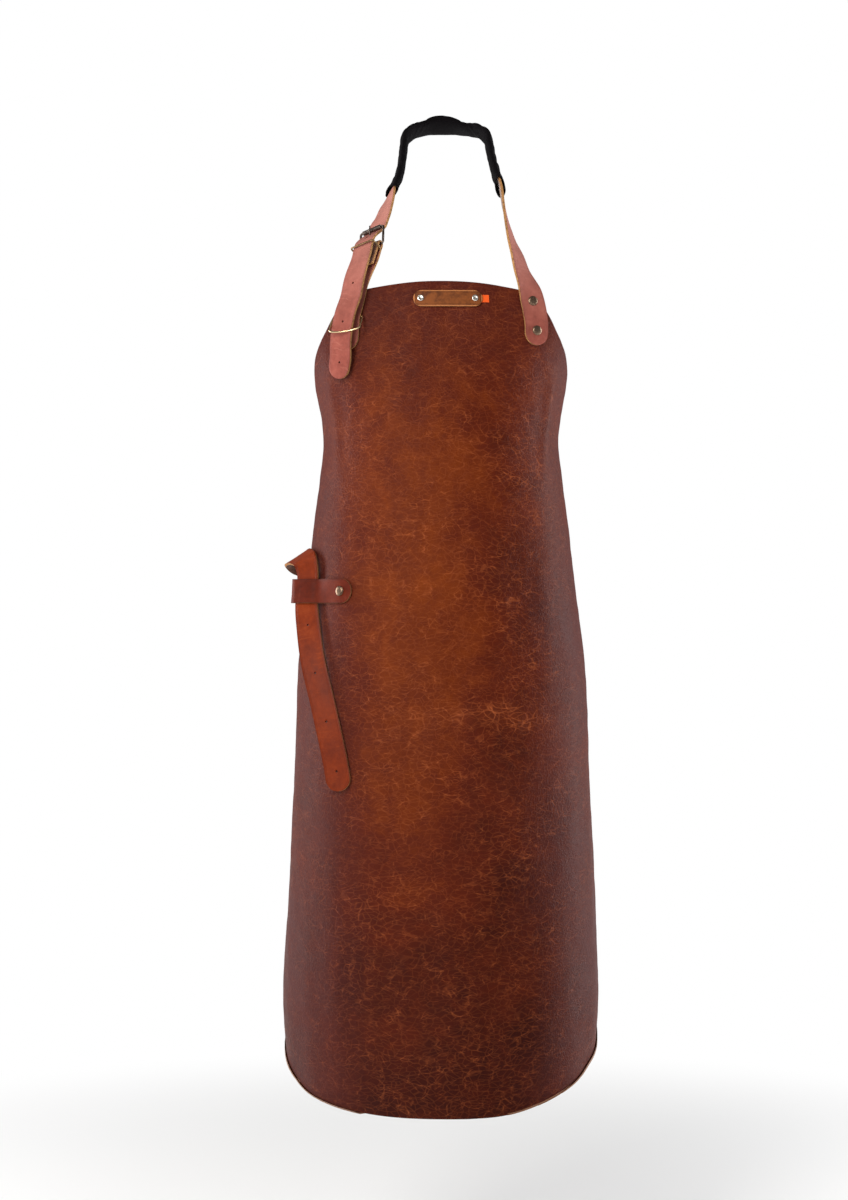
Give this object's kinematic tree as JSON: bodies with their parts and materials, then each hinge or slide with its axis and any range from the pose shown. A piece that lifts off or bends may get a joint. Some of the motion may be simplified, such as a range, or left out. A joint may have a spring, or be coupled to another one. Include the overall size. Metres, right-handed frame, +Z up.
{
  "type": "apron",
  "caption": "Long leather work apron in worn shape, with a buckled neck strap in a padded sleeve, a buckled waist strap, keepers, a leather label and a side loop.",
  "frame": {"origin": "on the under face of the neck sleeve, at the middle of the nape, where the loop bears on a neck or a hook", "axes": "+Z up, the wearer faces -Y, +X towards the wearer's left"},
  "size_m": [0.4038, 0.3162, 1.2418],
  "materials": {
    "hide": "waxed pull-up leather",
    "strap": "smooth bridle leather",
    "belt": "smooth bridle leather",
    "label": "vegetable-tanned, burnished edge",
    "sleeve": "matt",
    "tag": "matt",
    "buckle_metal": "antique",
    "rivet_metal": "antique",
    "keeper_brass": "antique",
    "ring_brass": "polished",
    "label_rivet_metal": "bright"
  },
  "bodies": {
    "apron": {"apron_panel": "hide", "neck_strap": "strap", "neck_sleeve": "sleeve", "neck_buckle_strap": "strap", "label": "label", "label_tag": "tag", "side_loop": "belt", "waist_strap": "belt", "waist_buckle_strap": "belt", "neck_right_rivet_1_cap": "rivet_metal", "neck_right_rivet_1_post": "rivet_metal", "neck_right_rivet_2_cap": "rivet_metal", "neck_right_rivet_2_post": "rivet_metal", "neck_left_rivet_1_cap": "rivet_metal", "neck_left_rivet_1_post": "rivet_metal", "neck_left_rivet_2_cap": "rivet_metal", "neck_left_rivet_2_post": "rivet_metal", "label_rivet_1_cap": "label_rivet_metal", "label_rivet_1_post": "label_rivet_metal", "label_rivet_2_cap": "label_rivet_metal", "label_rivet_2_post": "label_rivet_metal", "waist_right_rivet_1_cap": "rivet_metal", "waist_right_rivet_1_post": "rivet_metal", "waist_right_rivet_2_cap": "rivet_metal", "waist_right_rivet_2_post": "rivet_metal", "waist_left_rivet_1_cap": "rivet_metal", "waist_left_rivet_1_post": "rivet_metal", "waist_left_rivet_2_cap": "rivet_metal", "waist_left_rivet_2_post": "rivet_metal", "side_loop_rivet_1_cap": "rivet_metal", "side_loop_rivet_1_post": "rivet_metal", "side_loop_rivet_2_cap": "rivet_metal", "side_loop_rivet_2_post": "rivet_metal", "neck_fold_rivet_cap": "rivet_metal", "neck_fold_rivet_post": "rivet_metal", "waist_fold_rivet_cap": "rivet_metal", "waist_fold_rivet_post": "rivet_metal"},
    "neck_buckle_frame": {"neck_buckle_frame": "buckle_metal"},
    "neck_buckle_roller": {"neck_buckle_roller": "buckle_metal"},
    "neck_buckle_tongue": {"neck_buckle_tongue": "buckle_metal"},
    "neck_keeper": {"neck_keeper": "keeper_brass"},
    "waist_buckle_frame": {"waist_buckle_frame": "buckle_metal"},
    "waist_buckle_roller": {"waist_buckle_roller": "buckle_metal"},
    "waist_buckle_tongue": {"waist_buckle_tongue": "buckle_metal"},
    "waist_keeper": {"waist_keeper": "keeper_brass"},
    "neck_d_ring": {"neck_d_ring": "ring_brass"},
    "waist_strap_tail": {"waist_strap_tail": "belt"}
  },
  "joints": [
    {"name": "neck_buckle_tip", "type": "hinge", "parent": "apron", "child": "neck_buckle_frame", "pos_m": [-0.0866, -0.12589, -0.17305], "axis": [0.7724, -0.598, 0.2143], "range_deg": [0, 8]},
    {"name": "neck_roller_spin", "type": "hinge", "parent": "neck_buckle_frame", "child": "neck_buckle_roller", "pos_m": [-0.08622, -0.11736, -0.15062], "axis": [0.7724, -0.598, 0.2143], "continuous": true},
    {"name": "neck_tongue_lift", "type": "hinge", "parent": "neck_buckle_frame", "child": "neck_buckle_tongue", "pos_m": [-0.0866, -0.12589, -0.17305], "axis": [0.7724, -0.598, 0.2143], "range_deg": [0, 12]},
    {"name": "neck_keeper_slide", "type": "slide", "parent": "apron", "child": "neck_keeper", "axis": [0.2008, 0.5499, 0.8107], "range_m": [-0.006, 0.0035]},
    {"name": "waist_buckle_tip", "type": "hinge", "parent": "apron", "child": "waist_buckle_frame", "pos_m": [-0.04824, 0.05838, -0.56695], "axis": [0, 0, 1], "range_deg": [0, 8]},
    {"name": "waist_roller_spin", "type": "hinge", "parent": "waist_buckle_frame", "child": "waist_buckle_roller", "pos_m": [-0.02699, 0.06954, -0.56695], "axis": [0, 0, 1], "continuous": true},
    {"name": "waist_tongue_lift", "type": "hinge", "parent": "waist_buckle_frame", "child": "waist_buckle_tongue", "pos_m": [-0.04824, 0.05838, -0.56695], "axis": [0, 0, 1], "range_deg": [0, 12]},
    {"name": "waist_keeper_slide", "type": "slide", "parent": "apron", "child": "waist_keeper", "axis": [0.9826, 0.1858, 0], "range_m": [-0.006, 0.0035]},
    {"name": "neck_d_ring_swing", "type": "hinge", "parent": "apron", "child": "neck_d_ring", "pos_m": [-0.11548, -0.15302, -0.26447], "axis": [-0.9532, 0.2894, -0.0881], "range_deg": [0, 40]},
    {"name": "waist_tail_lift", "type": "hinge", "parent": "apron", "child": "waist_strap_tail", "pos_m": [-0.16733, -0.13516, -0.6215], "axis": [-0.9016, 0.3956, -0.1752], "range_deg": [0, 90]}
  ]
}
